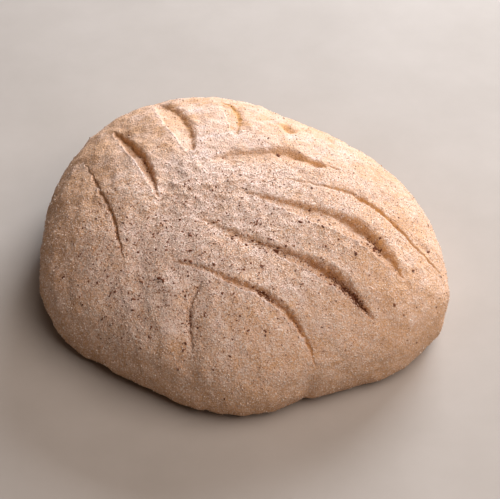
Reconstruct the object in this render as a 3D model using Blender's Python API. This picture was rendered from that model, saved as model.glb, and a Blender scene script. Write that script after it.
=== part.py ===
"""A whole wheat sourdough loaf, shaped by hand, floured and slashed, at its real size.

The loaf is one solid: a low dome of dough on a flat foot. A leaning blade has cut curved
slashes into its top, which lie like the leaves of a branch on the two sides of a bare stem.

Sizes are in millimetres, and the model is in metres with +Z up. While it is being drawn,
the loaf's plan is measured from its crown, the highest point, with +X to the right and +Y
to the back. At the end it stands with its foot on Z 0 and its box centred on X 0, Y 0.
"""

import math

import bmesh
import bpy
from mathutils import Vector

MM = 0.001

# The loaf's form.
HEIGHT = 63.0  # from the foot to the crown
WIDEST_AT = 17.0  # height of the line where the side stands out furthest
FOOT_INSET = 10.5  # how far the side curls in again from that line to the foot
SHOULDER_FULLNESS = 2.4  # 2 is an ellipse, and more is a fuller, squarer shoulder
CROWN_FULLNESS = 2.2  # the same for how flat the top is
# From the crown out to the widest line, every 30 degrees anticlockwise from +X.
REACH = (100.5, 88.5, 83.5, 93.0, 99.0, 91.0, 86.5, 92.0, 90.5, 101.5, 103.5, 113.0)

# How finely the form is faceted.
BEARINGS = 90
RINGS_ABOVE = 18
RINGS_BELOW = 5

# The slashes. Each line is a slash's crease, the way the blade went, as X and Y from the
# crown, with the steep wall on its left. Five values follow it in quarters of its way: how
# far off the near lip and the top of the steep wall are, and how deep the crease is. "step"
# is how much of that depth the near lip drops at once, before the floor slopes on down.
SLASHES = {
    "front_slit": {
        "line": [(-21, -54), (-8, -58.5), (4.5, -65), (17.5, -70), (28.5, -77), (37, -86), (41, -92)],
        "near": (0.9, 2.0, 2.6, 2.4, 0.8),
        "far": (0.9, 2.2, 2.8, 2.5, 1.0),
        "deep": (0.8, 1.3, 2.4, 2.7, 0.6),
        "step": 0.45,
    },
    "front_leaf": {
        "line": [(-8.5, -32), (7, -41), (24, -47), (40, -54), (54.5, -62.5), (66, -73.5)],
        "near": (1.6, 4.0, 4.6, 5.4, 2.0),
        "far": (1.2, 2.6, 2.4, 4.4, 1.6),
        "deep": (0.5, 1.4, 2.4, 5.0, 1.8),
        "step": 0.45,
    },
    "right_leaf": {
        "line": [(10, -15.5), (26.5, -20), (43.5, -24), (59.5, -29), (71, -40.5), (81, -53.5)],
        "near": (1.5, 5.6, 11.0, 9.0, 1.5),
        "far": (0.8, 2.0, 3.3, 5.4, 0.9),
        "deep": (0.6, 1.5, 2.1, 3.9, 0.8),
        "step": 0.45,
    },
    "right_slit": {
        "line": [(20, -4.5), (43, -6.5), (62.5, -10.5), (76.5, -20), (88, -31.5), (99, -38.5)],
        "near": (0.8, 1.8, 2.4, 2.2, 1.0),
        "far": (0.4, 0.7, 1.1, 1.2, 0.6),
        "deep": (0.3, 0.6, 1.2, 1.3, 0.4),
        "step": 0.2,
    },
    "back_leaf": {
        "line": [(-8, 7.5), (2, 12), (10.8, 14.2), (19.2, 15.6), (26.8, 16.4), (36, 14.2), (49, 8)],
        "near": (3.0, 10.0, 14.5, 13.0, 3.0),
        "far": (1.0, 2.2, 3.2, 3.6, 1.8),
        "deep": (0.6, 1.6, 2.2, 3.0, 2.0),
        "step": 0.15,
    },
    "left_slit": {
        "line": [(-67, 23.5), (-61.5, 9), (-56.5, -5.5), (-51, -20), (-46.5, -35), (-42.5, -50)],
        "near": (0.7, 0.9, 1.1, 1.1, 0.6),
        "far": (0.6, 0.8, 0.9, 1.1, 0.6),
        "deep": (0.4, 1.0, 1.3, 1.5, 0.5),
        "step": 0.3,
    },
    "left_leaf": {
        "line": [(-54.5, 46), (-48, 34), (-42, 22), (-36, 9.5), (-32, -4), (-29, -17.5)],
        "near": (1.2, 3.6, 4.4, 3.2, 1.2),
        "far": (1.0, 2.1, 2.5, 2.2, 1.0),
        "deep": (0.8, 2.6, 3.2, 2.7, 1.0),
        "step": 0.45,
    },
    "rear_leaf": {
        "line": [(-33.5, 70), (-27, 60.5), (-21.5, 50.5), (-18, 39.5), (-15.2, 27.5), (-14, 15)],
        "near": (3.2, 8.8, 10.5, 8.2, 4.0),
        "far": (3.2, 3.8, 3.8, 3.2, 1.4),
        "deep": (1.2, 2.0, 2.1, 1.9, 1.1),
        "step": 0.4,
    },
    "rear_nick": {
        "line": [(-1.5, 67.5), (3.5, 60.5), (6, 53), (7, 44.5), (7, 36), (6.5, 27)],
        "near": (1.7, 6.6, 6.2, 4.6, 1.8),
        "far": (0.8, 1.7, 2.3, 1.8, 0.7),
        "deep": (0.6, 1.1, 1.1, 0.8, 0.3),
        "step": 0.3,
    },
    "front_crease": {
        "line": [(-8.4, -65.4), (-11.8, -71), (-13.9, -77), (-13.7, -84), (-12.8, -90.6), (-12, -94)],
        "near": (0.9, 1.5, 1.8, 1.5, 0.9),
        "far": (0.9, 1.5, 1.8, 1.5, 0.9),
        "deep": (0.5, 1.1, 1.5, 1.3, 0.3),
        "step": 0.15,
    },
}
FAR_STEP = 0.35  # the same for the steep wall, which leaves a clean edge at its top
STATIONS = 15  # sections along each blade
CLEAR = 3.0  # how far a blade stands out above the skin
TIP_LIFT = 0.5  # how far above the skin the whole blade is at its two tips
HEADING_STEP = 0.02  # share of the way looked ahead and behind for the blade's heading

SHARP_ANGLE = 40.0  # degrees from which an edge is shaded sharp
DOUGH_COLOUR = (0.60, 0.44, 0.32, 1.0)
DOUGH_ROUGHNESS = 0.9


def between(values, position):
    """The smooth curve through values at position, where each whole position is a value."""
    step = math.floor(position)
    t = position - step
    before, start, end, after = (values(step + k) for k in (-1, 0, 1, 2))
    return (
        start
        + (end - before) * (0.5 * t)
        + (before * 2 - start * 5 + end * 4 - after) * (0.5 * t * t)
        + (start * 3 - before - end * 3 + after) * (0.5 * t * t * t)
    )


def reach_at(bearing):
    """How far the loaf reaches from the crown at a bearing in radians."""
    position = bearing / math.tau * len(REACH)
    return between(lambda k: REACH[k % len(REACH)], position)


def skin_point(bearing, share):
    """The point of the uncut top that lies at a share of the reach, from 0 to 1."""
    out = share * reach_at(bearing)
    drop = (1 - share**SHOULDER_FULLNESS) ** (1 / CROWN_FULLNESS)
    height = WIDEST_AT + (HEIGHT - WIDEST_AT) * drop
    return Vector((out * math.cos(bearing), out * math.sin(bearing), height))


def skin_above(x, y):
    """The point of the uncut top above a place in the plan."""
    bearing = math.atan2(y, x) % math.tau
    return skin_point(bearing, min(math.hypot(x, y) / reach_at(bearing), 1.0))


def side_point(bearing, turn):
    """The point of the side below its widest line, from turn 0 there to 90 degrees at the foot."""
    out = reach_at(bearing) - FOOT_INSET * (1 - math.cos(turn))
    height = WIDEST_AT * (1 - math.sin(turn))
    return Vector((out * math.cos(bearing), out * math.sin(bearing), height))


def plan_centre():
    """The middle of the loaf's box, from the crown."""
    edge = [skin_point(math.tau * k / BEARINGS, 1.0) for k in range(BEARINGS)]
    middle = [(min(p[axis] for p in edge) + max(p[axis] for p in edge)) / 2 for axis in (0, 1)]
    return Vector((*middle, 0.0))


def stand(mesh_name, bm, centre):
    """An object with this mesh, scaled to metres and moved to where the loaf stands."""
    for vertex in bm.verts:
        vertex.co = (vertex.co - centre) * MM
    bmesh.ops.recalc_face_normals(bm, faces=bm.faces)
    mesh = bpy.data.meshes.new(mesh_name)
    bm.to_mesh(mesh)
    bm.free()
    obj = bpy.data.objects.new(mesh_name, mesh)
    bpy.context.scene.collection.objects.link(obj)
    return obj


def ring(bm, points):
    """A closed ring of vertices and the edges between them."""
    verts = [bm.verts.new(p) for p in points]
    return verts, [bm.edges.new((verts[k - 1], verts[k])) for k in range(len(verts))]


def loft(bm, sections):
    """Joins each section of points to the next, and returns the first and last ring's vertices."""
    rings = [ring(bm, points) for points in sections]
    for (_, lower), (_, upper) in zip(rings, rings[1:]):
        bmesh.ops.bridge_loops(bm, edges=lower + upper)
    return rings[0][0], rings[-1][0]


def make_uncut_loaf(centre):
    """The dome with its flat foot, as rings from the foot up to the crown."""
    bearings = [math.tau * k / BEARINGS for k in range(BEARINGS)]
    turns = [math.pi / 2 * k / RINGS_BELOW for k in range(RINGS_BELOW, 0, -1)]
    climbs = [math.pi / 2 * k / RINGS_ABOVE for k in range(RINGS_ABOVE)]
    shares = [math.cos(climb) ** (2 / SHOULDER_FULLNESS) for climb in climbs]
    sections = [[side_point(b, turn) for b in bearings] for turn in turns]
    sections += [[skin_point(b, share) for b in bearings] for share in shares]
    bm = bmesh.new()
    foot, top = loft(bm, sections)
    bm.faces.new(foot)
    crown = bm.verts.new((0.0, 0.0, HEIGHT))
    for k in range(BEARINGS):
        bm.faces.new((top[k - 1], top[k], crown))
    return stand("loaf", bm, centre)


def follow(values, share):
    """The smooth curve through a slash's points or values, at a share of its way."""
    last = len(values) - 1
    return between(lambda k: values[max(0, min(last, k))], share * last)


def blade_frame(line, share):
    """Where the blade's crease is on the skin, and the directions to its left and out there."""
    points = [Vector((*p, 0.0)) for p in line]
    shares = (max(0.0, share - HEADING_STEP), share, min(1.0, share + HEADING_STEP))
    behind, at, ahead = (skin_above(*follow(points, s).xy) for s in shares)
    along = (ahead - behind).normalized()
    left = Vector((0, 0, 1)).cross(along).normalized()
    return at, left, along.cross(left)


def blade_section(slash, share):
    """The blade's five corners at a share of its way along the slash."""
    near, far, deep = (follow(slash[name], share) for name in ("near", "far", "deep"))
    corners = (
        (-near, CLEAR),
        (-near, -slash["step"] * deep),
        (0.0, -deep),
        (far, -FAR_STEP * deep),
        (far, CLEAR),
    )
    if share in (0.0, 1.0):
        corners = [(across, max(rise, TIP_LIFT)) for across, rise in corners]
    at, left, out = blade_frame(slash["line"], share)
    return [at + left * across + out * rise for across, rise in corners]


def make_blade(name, slash, centre):
    """The solid that a slash takes out of the loaf."""
    bm = bmesh.new()
    sections = [blade_section(slash, k / (STATIONS - 1)) for k in range(STATIONS)]
    for tip in loft(bm, sections):
        bm.faces.new(tip)
    return stand(f"blade_{name}", bm, centre)


def slash_loaf(loaf, blades):
    """Cuts all the blades out of the loaf."""
    rack = bpy.data.collections.new("blades")
    bpy.context.scene.collection.children.link(rack)
    for blade in blades:
        blade.hide_render = True
        blade.display_type = "WIRE"
        bpy.context.scene.collection.objects.unlink(blade)
        rack.objects.link(blade)
    cut = loaf.modifiers.new("slashes", "BOOLEAN")
    cut.operation = "DIFFERENCE"
    cut.solver = "EXACT"
    cut.operand_type = "COLLECTION"
    cut.collection = rack


def dough_material():
    """Pale, dull dough under a dusting of flour."""
    material = bpy.data.materials.new("floured_dough")
    material.use_nodes = True
    shader = material.node_tree.nodes["Principled BSDF"]
    shader.inputs["Base Color"].default_value = DOUGH_COLOUR
    shader.inputs["Roughness"].default_value = DOUGH_ROUGHNESS
    shader.inputs["Metallic"].default_value = 0.0
    return material


def main():
    for obj in list(bpy.data.objects):
        bpy.data.objects.remove(obj)
    centre = plan_centre()
    loaf = make_uncut_loaf(centre)
    loaf.data.materials.append(dough_material())
    loaf.data.shade_smooth()
    loaf.data.set_sharp_from_angle(angle=math.radians(SHARP_ANGLE))
    slash_loaf(loaf, [make_blade(name, slash, centre) for name, slash in SLASHES.items()])


main()
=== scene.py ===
# %% [markdown]
# # A whole wheat sourdough loaf, slashed and floured, not yet baked
#
# The real thing is about a kilogram of proofed dough, shaped by hand into a low round, dusted
# with coarse flour and cut with a blade. It isn't baked, so nothing on it is browned: it is
# pale, dull and sandy, and only the fresh cuts show the warmer dough under the flour.
#
# The lesson goes in a baker's order: the round, the cuts, the stretched skin around them, and
# then the flour and the bran that lie on top. The solid model is loaded first and never
# changed. Every size below is in millimetres, and places in plan are from the loaf's crown,
# its highest point.

# %% Load the fixed frame
import math

import bpy
import numpy as np
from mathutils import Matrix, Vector
from mathutils.geometry import delaunay_2d_cdt


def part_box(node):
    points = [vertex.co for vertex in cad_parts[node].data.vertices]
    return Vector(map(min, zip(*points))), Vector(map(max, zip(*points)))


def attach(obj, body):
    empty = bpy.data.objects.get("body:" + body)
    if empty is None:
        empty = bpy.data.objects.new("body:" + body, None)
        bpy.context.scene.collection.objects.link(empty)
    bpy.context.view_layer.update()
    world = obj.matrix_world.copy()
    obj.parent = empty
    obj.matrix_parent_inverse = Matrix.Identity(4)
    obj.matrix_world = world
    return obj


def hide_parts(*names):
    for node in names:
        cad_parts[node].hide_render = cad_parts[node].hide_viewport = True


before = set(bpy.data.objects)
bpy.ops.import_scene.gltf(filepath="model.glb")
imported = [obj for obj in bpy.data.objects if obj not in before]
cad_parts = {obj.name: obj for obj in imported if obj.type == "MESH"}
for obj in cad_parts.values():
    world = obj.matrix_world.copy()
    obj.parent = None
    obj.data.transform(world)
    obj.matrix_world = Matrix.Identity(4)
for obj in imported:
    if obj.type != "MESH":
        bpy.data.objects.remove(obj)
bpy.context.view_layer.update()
MM = 0.001
loaf_low, loaf_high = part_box("loaf")
HEIGHT = loaf_high.z / MM
print("the solid loaf is", [round(side / MM, 1) for side in loaf_high - loaf_low], "mm")

# %% [markdown]
# ## The round
#
# Seen from above, a hand-shaped round is an uneven ring, so its outline is a handful of
# reaches from the crown with a smooth curve through them. Its profile is a superellipse, a
# fuller shape than a ball's dome, and it curls in again to the foot that it rests on.
#
# A ball made of rings and pushed into shape would bunch its faces at the poles. Here the skin is
# unrolled onto a flat round sheet instead, on which equal areas stay equal. Points spread
# evenly over the sheet then lie evenly on the loaf, and they can be dense where it matters.

# %% The outline and the profile
WIDEST_AT = 17.0  # height of the line where the side stands out furthest
FOOT_INSET = 10.5  # how far the side curls in from that line to the foot
SHOULDER_FULLNESS = 2.4
CROWN_FULLNESS = 2.2
REACH = np.array((100.5, 88.5, 83.5, 93.0, 99.0, 91.0, 86.5, 92.0, 90.5, 101.5, 103.5, 113.0))
TOP_STEPS, TUCK_STEPS = 900, 300  # how finely the profile is followed over and under the line


def smooth(before, start, end, after, t):
    """The smooth curve from start to end, at t from 0 to 1."""
    return (
        start
        + (end - before) * (0.5 * t)
        + (before * 2 - start * 5 + end * 4 - after) * (0.5 * t * t)
        + (start * 3 - before - end * 3 + after) * (0.5 * t * t * t)
    )


def reach_at(bearing):
    """How far the loaf reaches from the crown at bearings in radians."""
    place = bearing / math.tau * len(REACH)
    step = np.floor(place).astype(int)
    ring = [REACH[(step + k) % len(REACH)] for k in (-1, 0, 1, 2)]
    return smooth(*ring, place - step)


def make_profile():
    """Sheet radius, share of the reach, tuck under the widest line and height, crown to foot."""
    climb = np.linspace(math.pi / 2, 0, TOP_STEPS)
    turn = np.linspace(0, math.pi / 2, TUCK_STEPS)[1:]
    share = np.concatenate([np.abs(np.cos(climb)) ** (2 / SHOULDER_FULLNESS), np.ones(len(turn))])
    share[0] = 0
    tuck = np.concatenate([np.zeros(len(climb)), FOOT_INSET * (1 - np.cos(turn))])
    top = WIDEST_AT + (HEIGHT - WIDEST_AT) * np.sin(climb) ** (2 / CROWN_FULLNESS)
    height = np.concatenate([top, WIDEST_AT * (1 - np.sin(turn))])
    out = share * REACH.mean() - tuck
    stride = np.hypot(np.diff(out), np.diff(height))
    area = np.concatenate([[0], np.cumsum(stride * (out[1:] + out[:-1]) * math.pi)])
    return np.sqrt(area / math.pi), share, tuck, height, len(climb)


RADIUS, SHARE, TUCK, RISE, TOP_ROWS = make_profile()
SHEET = RADIUS[-1]
print(f"the skin unrolls to a round sheet of {SHEET:.1f} mm in radius")

# %% The middle of the plan
OUTLINE_BEARINGS = 90  # how many places the solid's outline is read at


def plan_centre():
    """The middle of the loaf's box in plan, from the crown."""
    bearings = np.arange(OUTLINE_BEARINGS) * math.tau / OUTLINE_BEARINGS
    edge = reach_at(bearings)[:, None] * np.stack([np.cos(bearings), np.sin(bearings)], 1)
    misfit = np.abs((edge.max(0) - edge.min(0)) * MM - (loaf_high - loaf_low).xy).max()
    print(f"the outline is within {misfit / MM:.3f} mm of the solid's")
    return (edge.min(0) + edge.max(0)) / 2


CENTRE = np.array([*plan_centre(), 0.0])

# %% From the sheet to the skin and back
NORMAL_STEP = 0.2
TINY = 1e-12  # keeps a division from failing where a length is nothing


def unit(vectors):
    return vectors / np.linalg.norm(vectors, axis=-1, keepdims=True)


def skin(sheet):
    """Where places on the flat sheet lie on the uncut loaf."""
    radius = np.hypot(sheet[:, 0], sheet[:, 1])
    bearing = np.arctan2(sheet[:, 1], sheet[:, 0])
    share, tuck, rise = (np.interp(radius, RADIUS, column) for column in (SHARE, TUCK, RISE))
    out = share * reach_at(bearing) - tuck
    return np.stack([out * np.cos(bearing), out * np.sin(bearing), rise], 1)


def outward(sheet):
    """The direction straight out of the uncut loaf at places on the sheet."""
    radius = np.maximum(np.hypot(sheet[:, 0], sheet[:, 1]), TINY)
    inner = sheet * np.minimum(1, (SHEET - NORMAL_STEP) / radius)[:, None]
    right, back = np.array([NORMAL_STEP, 0]), np.array([0, NORMAL_STEP])
    return unit(np.cross(skin(inner + right) - skin(inner - right), skin(inner + back) - skin(inner - back)))


def unroll(plan):
    """The places on the sheet of points of the top that are given in plan."""
    bearing = np.arctan2(plan[:, 1], plan[:, 0])
    share = np.clip(np.hypot(plan[:, 0], plan[:, 1]) / reach_at(bearing), 0, 1)
    radius = np.interp(share, SHARE[:TOP_ROWS], RADIUS[:TOP_ROWS])
    return radius[:, None] * np.stack([np.cos(bearing), np.sin(bearing)], 1)


print("the crown is at", skin(np.zeros((1, 2)))[0].round(2))

# %% [markdown]
# ## The cuts
#
# The baker held the blade at a slant and drew curved cuts on both sides of a bare stem. A
# slanted cut opens unevenly: its near lip stays crisp and lifts, a floor slopes away under it,
# and a steep wall closes it, which rounds over softly at the top. Most start as a shallow
# valley at the stem and only turn deep and crisp further out.
#
# Cutting them with a Boolean would give knife-clean walls and torn, uneven faces. Here each
# cut is a line on the skin, and the skin is pressed in around it by a section.

# %% Where the blade went
# Each line is a cut's crease, the way the blade went, with the steep wall on its left. Five
# values follow it in quarters of its way: how far off the near lip and the top of the wall
# are, how deep the crease is, how crisp the near lip is, and how bare of flour the wall is.
# "lip" is how far the dough rises beside the cut, "sag" how far it sinks around it, and
# "dark" how dark its crease is, partly for damper dough and partly as painted shade.
CUTS = {
    "front_slit": {
        "line": [(-21, -54), (-8, -58.5), (4.5, -65), (17.5, -70), (28.5, -77), (37, -86), (41, -92)],
        "near": (0.9, 2.0, 2.6, 2.4, 0.8), "far": (0.8, 1.5, 2.0, 2.0, 0.9),
        "deep": (0.8, 1.2, 2.1, 2.5, 0.6), "crisp": (0.4, 0.8, 1.0, 1.0, 0.8),
        "bare": (0.3, 0.5, 0.6, 0.8, 0.9), "lip": 0.6, "sag": 1.2, "dark": 0.6,
    },
    "front_leaf": {
        "line": [(-8.5, -32), (7, -41), (24, -47), (40, -54), (54.5, -62.5), (66, -73.5)],
        "near": (1.6, 4.0, 4.6, 5.4, 2.0), "far": (1.2, 2.2, 2.1, 3.8, 1.5),
        "deep": (0.5, 1.3, 2.3, 4.8, 1.9), "crisp": (0.0, 0.4, 0.9, 1.0, 1.0),
        "bare": (0.0, 0.3, 0.5, 0.8, 0.4), "lip": 0.9, "sag": 1.2, "dark": 0.85,
    },
    "right_leaf": {
        "line": [(10, -15.5), (26.5, -20), (43.5, -24), (59.5, -29), (71, -40.5), (81, -53.5)],
        "near": (1.5, 5.6, 11.0, 9.0, 1.5), "far": (0.8, 2.0, 3.3, 5.4, 0.9),
        "deep": (0.6, 1.5, 2.1, 3.9, 0.8), "crisp": (0.4, 1.0, 1.0, 1.0, 1.0),
        "bare": (0.1, 0.5, 0.6, 0.9, 0.8), "lip": 0.9, "sag": 1.0, "dark": 0.8,
    },
    "right_slit": {
        "line": [(20, -4.5), (43, -6.5), (62.5, -10.5), (76.5, -20), (88, -31.5), (99, -38.5)],
        "near": (0.8, 1.8, 2.4, 2.2, 1.0), "far": (0.4, 0.7, 1.1, 1.2, 0.6),
        "deep": (0.3, 0.6, 1.2, 1.3, 0.4), "crisp": (0.0, 0.1, 0.3, 0.5, 0.3),
        "bare": (0.0, 0.3, 1.0, 1.0, 0.5), "lip": 0.25, "sag": 1.1, "dark": 0.35,
    },
    "back_leaf": {
        "line": [(-8, 7.5), (2, 12), (10.8, 14.2), (19.2, 15.6), (26.8, 16.4), (36, 14.2), (49, 8)],
        "near": (3.0, 10.0, 14.5, 13.0, 3.0), "far": (1.0, 2.2, 3.2, 3.6, 1.8),
        "deep": (0.5, 1.2, 1.8, 2.7, 2.1), "crisp": (0.0, 0.0, 0.0, 0.1, 0.0),
        "bare": (0.0, 0.1, 0.1, 0.5, 1.0), "lip": 0.3, "sag": 0.3, "dark": 0.25,
    },
    "back_tail": {
        "line": [(48, 10), (53, 7.5), (60, 5.5)],
        "near": (0.8, 1.0, 1.0, 0.8, 0.5), "far": (0.6, 0.9, 0.9, 0.7, 0.5),
        "deep": (0.5, 0.8, 0.6, 0.4, 0.1), "crisp": (0.0, 0.0, 0.0, 0.0, 0.0),
        "bare": (0.6, 0.4, 0.2, 0.0, 0.0), "lip": 0.1, "sag": 0.2, "dark": 0.2,
    },
    "left_slit": {
        "line": [(-67, 23.5), (-61.5, 9), (-56.5, -5.5), (-51, -20), (-46.5, -35), (-42.5, -50)],
        "near": (0.7, 0.9, 1.1, 1.1, 0.6), "far": (0.6, 0.8, 0.9, 1.1, 0.6),
        "deep": (0.4, 1.0, 1.3, 1.5, 0.5), "crisp": (0.3, 0.5, 0.6, 0.6, 0.4),
        "bare": (0.0, 0.4, 0.8, 1.0, 0.5), "lip": 0.15, "sag": 0.8, "dark": 0.8,
    },
    "left_leaf": {
        "line": [(-54.5, 46), (-48, 34), (-42, 22), (-36, 9.5), (-32, -4), (-29, -17.5)],
        "near": (1.2, 3.6, 4.4, 3.2, 1.2), "far": (1.0, 2.1, 2.5, 2.2, 1.0),
        "deep": (0.8, 2.6, 3.2, 2.7, 1.0), "crisp": (0.6, 1.0, 1.0, 0.9, 0.4),
        "bare": (0.4, 0.8, 1.0, 0.7, 0.4), "lip": 0.5, "sag": 0.9, "dark": 0.9,
    },
    "rear_leaf": {
        "line": [(-33.5, 70), (-27, 60.5), (-21.5, 50.5), (-18, 39.5), (-15.2, 27.5), (-14, 15)],
        "near": (3.2, 8.8, 10.5, 8.2, 4.0), "far": (3.2, 3.8, 3.8, 3.2, 1.4),
        "deep": (1.2, 2.0, 2.1, 1.9, 1.1), "crisp": (0.6, 0.9, 0.9, 0.8, 0.5),
        "bare": (0.2, 0.4, 0.5, 0.4, 0.2), "lip": 0.5, "sag": 0.5, "dark": 0.4,
    },
    "rear_nick": {
        "line": [(-1.5, 67.5), (3.5, 60.5), (6, 53), (7, 44.5), (7, 36), (6.5, 27)],
        "near": (1.7, 6.6, 6.2, 4.6, 1.8), "far": (0.8, 2.2, 2.8, 2.2, 0.7),
        "deep": (0.6, 1.0, 1.0, 0.7, 0.3), "crisp": (0.3, 0.6, 0.6, 0.4, 0.2),
        "bare": (0.8, 1.0, 1.0, 0.6, 0.1), "lip": 0.3, "sag": 0.4, "dark": 0.0,
    },
    "front_crease": {
        "line": [(-8.4, -65.4), (-11.8, -71), (-13.9, -77), (-13.7, -84), (-12.8, -90.6), (-12, -94)],
        "near": (0.9, 1.5, 1.8, 1.5, 0.9), "far": (0.9, 1.5, 1.8, 1.5, 0.9),
        "deep": (0.5, 1.1, 1.5, 1.3, 0.3), "crisp": (0.0, 0.0, 0.0, 0.0, 0.0),
        "bare": (0.0, 0.1, 0.1, 0.0, 0.0), "lip": 0.1, "sag": 1.1, "dark": 0.45,
    },
}
LINE_STEP = 0.5  # between places along a line


def draw_line(points):
    """Places in plan every half millimetre along the smooth line through a few points."""
    kept = np.array([points[0], *points, points[-1]], float)
    runs = []
    for k in range(1, len(kept) - 2):
        count = max(2, int(np.linalg.norm(kept[k + 1] - kept[k]) / LINE_STEP))
        t = np.arange(count)[:, None] / count
        runs.append(smooth(*kept[k - 1 : k + 3], t))
    return np.concatenate([*runs, kept[-1:]])


def lay_on_skin(plan):
    """A line's places on the skin, with the directions along it and to its left there."""
    sheet = unroll(plan)
    at, out = skin(sheet), outward(sheet)
    along = np.gradient(at, axis=0)
    along = unit(along - (along * out).sum(1, keepdims=True) * out)
    length = np.linalg.norm(np.diff(at, axis=0), axis=1).sum()
    return {"at": at, "along": along, "left": np.cross(out, along), "length": float(length)}


for cut in CUTS.values():
    cut.update(lay_on_skin(draw_line(cut["line"])))
print({name: round(cut["length"]) for name, cut in CUTS.items()}, "mm long")

# %% How a point lies to a cut
REACH_OF_CUT = 26.0  # beyond this a cut has no effect
OUT_OF_REACH = 1e3  # stands for the distance of the points beyond that
TIP_LENGTH = 5.0  # over this length a cut closes at its tips
TIP_WIDTH = 0.3  # the share of its width that it still has at the very tip


def beside(points, cut):
    """How far each point is to the left of a cut's line, its share of the way, and its distance."""
    left, away = np.full((2, len(points)), OUT_OF_REACH)
    share = np.zeros(len(points))
    low, high = cut["at"].min(0) - REACH_OF_CUT, cut["at"].max(0) + REACH_OF_CUT
    near = np.flatnonzero(((points > low) & (points < high)).all(1))
    here = points[near]
    gaps = (here**2).sum(1)[:, None] + (cut["at"] ** 2).sum(1) - 2 * here @ cut["at"].T
    closest = gaps.argmin(1)
    offset = here - cut["at"][closest]
    forward = (offset * cut["along"][closest]).sum(1)
    left[near] = (offset * cut["left"][closest]).sum(1)
    share[near] = closest / (len(cut["at"]) - 1) + forward / cut["length"]
    away[near] = np.linalg.norm(offset, axis=1)
    return left, share, away


def graded(values, share):
    """The smooth curve through a cut's values, at shares of its way."""
    row = np.array([values[0], *values, values[-1]], float)
    place = np.clip(share, 0, 1) * (len(values) - 1)
    step = np.minimum(place.astype(int), len(values) - 2)
    return smooth(*(row[step + k] for k in range(4)), place - step)


def closing(cut, share):
    """How a cut closes at its tips, from 0 at and beyond them to 1 further in."""
    to_tip = np.minimum(share, 1 - share) * cut["length"]
    return np.sqrt(np.clip(to_tip / TIP_LENGTH, 0, 1))


def edges(cut, share):
    """How far a cut's near lip and the top of its wall are from its crease."""
    full = TIP_WIDTH + (1 - TIP_WIDTH) * closing(cut, share)
    return graded(cut["near"], share) * full, graded(cut["far"], share) * full


# %% [markdown]
# ## Points where they are needed
#
# A loaf is smooth for the most part and sharp at the lips of its cuts. An even mesh fine
# enough for the lips would waste most of its faces. Rows of points therefore run along each
# cut, with one row on every fold of its section, and an even honeycomb of points fills the
# rest. A Delaunay triangulation then skins them all in seconds.

# %% Rows of points along a cut
# Across a cut, -1 is its near lip, 0 its crease and 1 the top of its wall.
FOLDS = np.array((-1.0, -0.94, -0.84, -0.55, -0.25, -0.08, 0.0, 0.12, 0.35, 0.6, 0.8, 1.0))
ROW_GAP = 0.85  # the widest gap left between two rows
SHOULDER_ROWS = np.array((0.3, 0.75, 1.4))  # beyond the outer folds


def row_places(cut):
    """Where the rows run across a cut, with more of them where it is wide."""
    rows = []
    for start, end in zip(FOLDS, FOLDS[1:]):
        span = (end - start) * max(cut["near"] if start < 0 else cut["far"])
        rows.append(np.linspace(start, end, int(span / ROW_GAP) + 2)[:-1])
    return np.concatenate([*rows, FOLDS[-1:]])


def rows_along(cut):
    """The places on the sheet of all the rows of points beside a cut."""
    near, far = (edge[:, None] for edge in edges(cut, np.linspace(0, 1, len(cut["at"]))))
    places = row_places(cut)
    between = np.where(places < 0, places * near, places * far)
    across = np.concatenate([-near - SHOULDER_ROWS[::-1], between, far + SHOULDER_ROWS], 1)
    spots = cut["at"][:, None] + across[..., None] * cut["left"][:, None]
    return unroll(spots.reshape(-1, 3)[:, :2])


print("rows of points across the widest cut:", len(row_places(CUTS["back_leaf"])))

# %% The honeycomb and the mesh
HONEYCOMB = 0.93
ROW_HEIGHT = math.sqrt(3) / 2  # of a row of equal triangles, in shares of their side
RIM_POINTS = 640
MERGE = 0.16  # of the points in one square of this width, one is kept
SAME_POINT = 1e-6  # the triangulation makes one of points that are closer than this


def honeycomb():
    """Evenly spread places over the whole sheet, clear of its edge."""
    rows = np.arange(-SHEET, SHEET, HONEYCOMB * ROW_HEIGHT)
    across = np.arange(-SHEET, SHEET, HONEYCOMB)
    shift = (np.arange(len(rows)) % 2)[:, None] * HONEYCOMB / 2
    grid = np.stack([(across[None, :] + shift).ravel(), np.repeat(rows, len(across))], 1)
    return grid[np.hypot(*grid.T) < SHEET - HONEYCOMB / 2]


def clear_of_cuts(points):
    """Which of these points are clear of the rows along the cuts."""
    free = np.ones(len(points), bool)
    for cut in CUTS.values():
        left, share, _ = beside(points, cut)
        near, far = edges(cut, share)
        covered = (left > -near - SHOULDER_ROWS[-1]) & (left < far + SHOULDER_ROWS[-1])
        free &= ~(covered & (share > 0) & (share < 1))
    return free


def choose_points():
    comb = honeycomb()
    comb = comb[clear_of_cuts(skin(comb))]
    inner = np.concatenate([*(rows_along(cut) for cut in CUTS.values()), comb])
    inner = inner[np.hypot(*inner.T) < SHEET - HONEYCOMB / 2]
    _, first = np.unique(np.round(inner / MERGE).astype(int), axis=0, return_index=True)
    turns = np.arange(RIM_POINTS) * math.tau / RIM_POINTS
    rim = SHEET * np.stack([np.cos(turns), np.sin(turns)], 1)
    return np.concatenate([rim, inner[np.sort(first)]])


skinned = delaunay_2d_cdt([Vector(place) for place in choose_points()], [], [], 0, SAME_POINT)
sheet_points, top_faces = np.array([tuple(place) for place in skinned[0]]), np.array(skinned[2])
print(len(sheet_points), "points and", len(top_faces), "triangles in the skin")

# %% [markdown]
# ## Relief
#
# The skin is stretched and handled, so nothing on it is truly smooth. Sums of random waves
# give its soft unevenness, because they can be made at any scale and never show a seam. The
# sections of the cuts are added to them, with a little waver, because a blade drags on
# sticky dough.

# %% Random waves
WAVE_RANGE = (0.7, 1.5)  # the shortest and the longest, in shares of the given wavelength


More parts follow.
